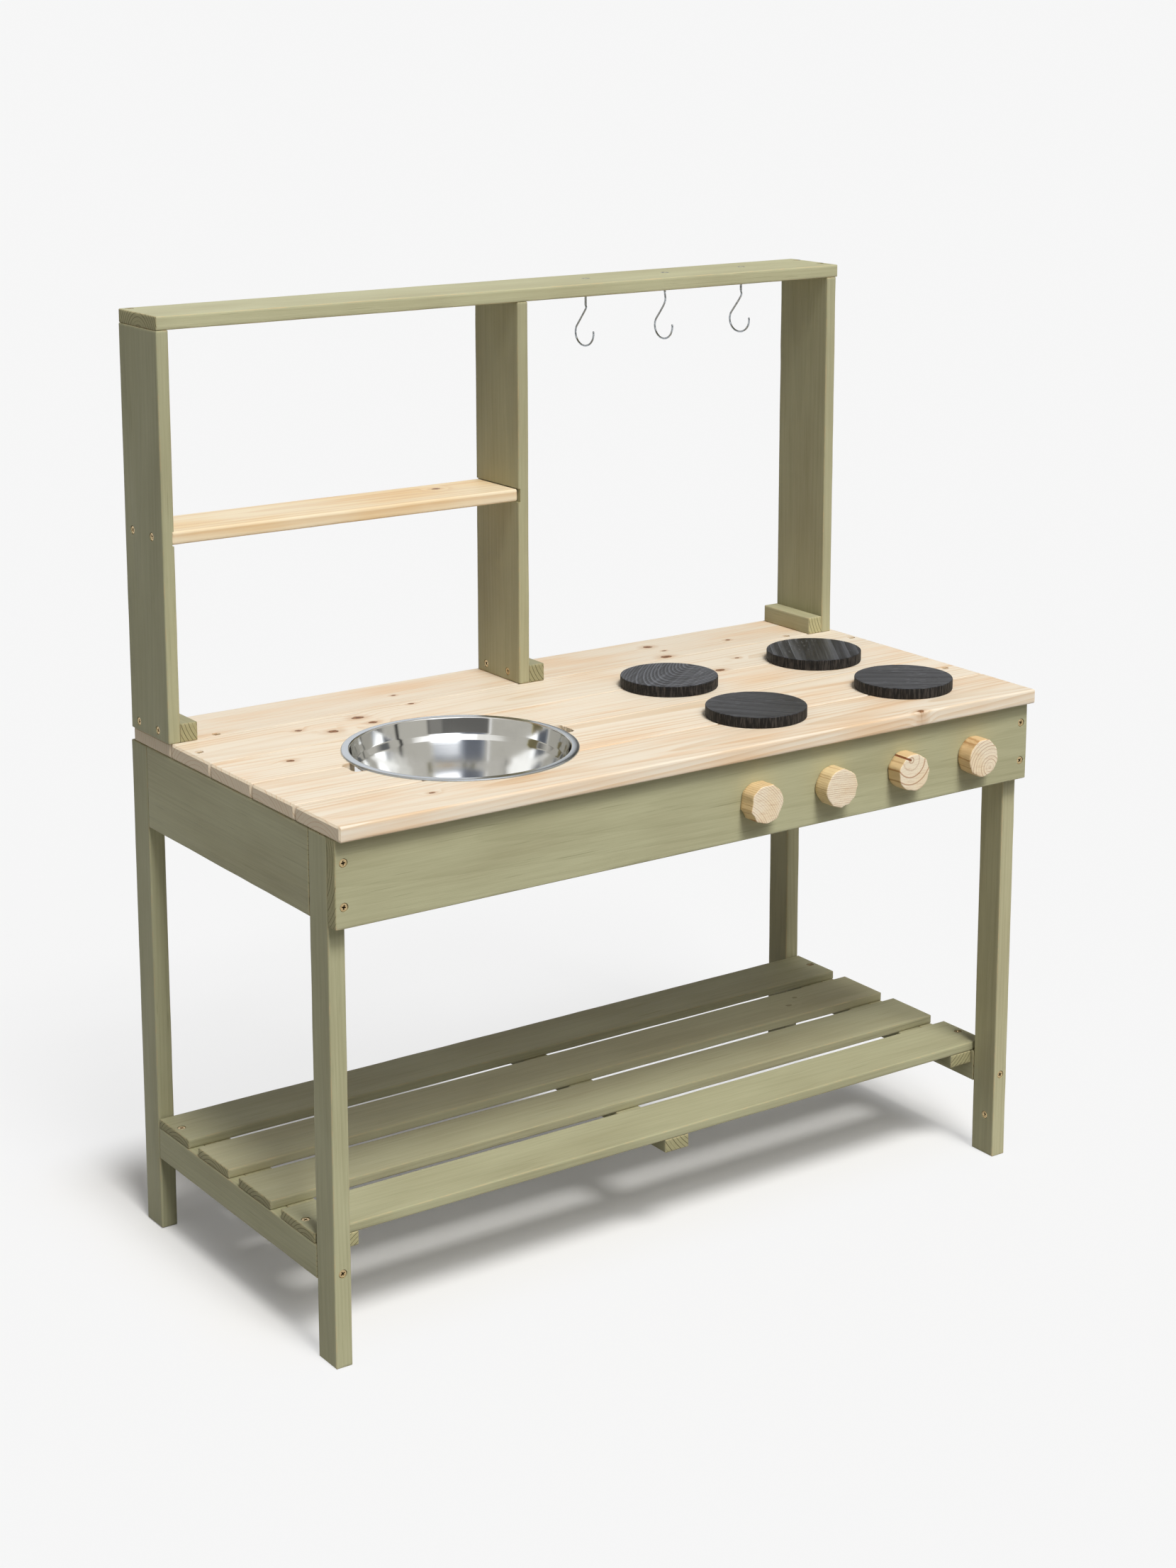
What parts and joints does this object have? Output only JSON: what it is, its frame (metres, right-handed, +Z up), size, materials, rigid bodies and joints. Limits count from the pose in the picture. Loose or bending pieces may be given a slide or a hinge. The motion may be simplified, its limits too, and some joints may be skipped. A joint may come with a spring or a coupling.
{
  "type": "mud kitchen",
  "caption": "Free-standing wooden outdoor play kitchen with a lift-out steel bowl, hob discs, turning knobs, a back frame with shelf and hook rail, and a slatted storage shelf.",
  "frame": {"origin": "on the floor in the middle of the kitchen's footprint", "axes": "+X along the kitchen from the bowl to the hobs, +Y from the front to the back, +Z up"},
  "size_m": [0.905, 0.4596, 1.019],
  "materials": {
    "sage_stained_wood": "thin sage-green stain over planed softwood, grain showing, edges worn paler",
    "worktop_wood": "untreated planed spruce with knots, satin",
    "pine_wood": "untreated planed pine, satin",
    "knob_wood": "bare sawn end grain with growth rings",
    "blackened_wood": "matt near-black stain, sawn rings on the side",
    "stainless_steel": "mirror polished sheet",
    "zinc_plated_steel": "bright zinc plating",
    "yellow_zinc_steel": "yellow-passivated zinc plating"
  },
  "bodies": {
    "kitchen_frame": {"leg_front_left": "sage_stained_wood", "leg_back_left": "sage_stained_wood", "leg_front_right": "sage_stained_wood", "leg_back_right": "sage_stained_wood", "front_apron": "sage_stained_wood", "upper_side_rail_left": "sage_stained_wood", "upper_side_rail_right": "sage_stained_wood", "back_rail": "sage_stained_wood", "apron_screw_1": "yellow_zinc_steel", "apron_screw_2": "yellow_zinc_steel", "apron_screw_3": "yellow_zinc_steel", "apron_screw_4": "yellow_zinc_steel", "lower_side_rail_left": "sage_stained_wood", "lower_side_rail_right": "sage_stained_wood", "slat_1": "sage_stained_wood", "slat_2": "sage_stained_wood", "slat_3": "sage_stained_wood", "slat_4": "sage_stained_wood", "slat_bearer_left": "sage_stained_wood", "slat_bearer_middle": "sage_stained_wood", "slat_bearer_right": "sage_stained_wood", "worktop_board_1": "worktop_wood", "worktop_board_2": "worktop_wood", "worktop_board_3_left": "worktop_wood", "worktop_board_3_right": "worktop_wood", "worktop_board_4_left": "worktop_wood", "worktop_board_4_right": "worktop_wood", "worktop_board_5": "worktop_wood", "worktop_batten_left": "pine_wood", "worktop_batten_middle": "pine_wood", "worktop_batten_right": "pine_wood", "hob_disc_1": "blackened_wood", "hob_disc_2": "blackened_wood", "hob_disc_3": "blackened_wood", "hob_disc_4": "blackened_wood", "post_left": "sage_stained_wood", "post_middle": "sage_stained_wood", "post_right": "sage_stained_wood", "cleat_left": "sage_stained_wood", "cleat_middle": "sage_stained_wood", "cleat_right": "sage_stained_wood", "shelf": "pine_wood", "top_rail": "sage_stained_wood", "hook_sleeve_1": "zinc_plated_steel", "hook_sleeve_2": "zinc_plated_steel", "hook_sleeve_3": "zinc_plated_steel"},
    "bowl": {"sink_bowl": "stainless_steel"},
    "knob_1_turning": {"knob_1": "knob_wood", "knob_screw_1": "zinc_plated_steel"},
    "knob_2_turning": {"knob_2": "knob_wood", "knob_screw_2": "zinc_plated_steel"},
    "knob_3_turning": {"knob_3": "knob_wood", "knob_screw_3": "zinc_plated_steel"},
    "knob_4_turning": {"knob_4": "knob_wood", "knob_screw_4": "zinc_plated_steel"},
    "hook_1_turning": {"hook_1": "zinc_plated_steel"},
    "hook_2_turning": {"hook_2": "zinc_plated_steel"},
    "hook_3_turning": {"hook_3": "zinc_plated_steel"}
  },
  "joints": [
    {"name": "bowl_lift", "type": "slide", "parent": "kitchen_frame", "child": "bowl", "axis": [0, 0, 1], "range_m": [0, 0.15]},
    {"name": "knob_1_turn", "type": "hinge", "parent": "kitchen_frame", "child": "knob_1_turning", "pos_m": [0.05955, -0.2092, 0.5048], "axis": [0, -1, 0], "continuous": true},
    {"name": "knob_2_turn", "type": "hinge", "parent": "kitchen_frame", "child": "knob_2_turning", "pos_m": [0.16185, -0.2092, 0.5048], "axis": [0, -1, 0], "continuous": true},
    {"name": "knob_3_turn", "type": "hinge", "parent": "kitchen_frame", "child": "knob_3_turning", "pos_m": [0.26415, -0.2092, 0.5048], "axis": [0, -1, 0], "continuous": true},
    {"name": "knob_4_turn", "type": "hinge", "parent": "kitchen_frame", "child": "knob_4_turning", "pos_m": [0.36645, -0.2092, 0.5048], "axis": [0, -1, 0], "continuous": true},
    {"name": "hook_1_swivel", "type": "hinge", "parent": "kitchen_frame", "child": "hook_1_turning", "pos_m": [0.11215, 0.1803, 1.0043], "axis": [0, 0, 1], "range_deg": [-180, 180]},
    {"name": "hook_2_swivel", "type": "hinge", "parent": "kitchen_frame", "child": "hook_2_turning", "pos_m": [0.22465, 0.1803, 1.0043], "axis": [0, 0, 1], "range_deg": [-180, 180]},
    {"name": "hook_3_swivel", "type": "hinge", "parent": "kitchen_frame", "child": "hook_3_turning", "pos_m": [0.33715, 0.1803, 1.0043], "axis": [0, 0, 1], "range_deg": [-180, 180]}
  ]
}
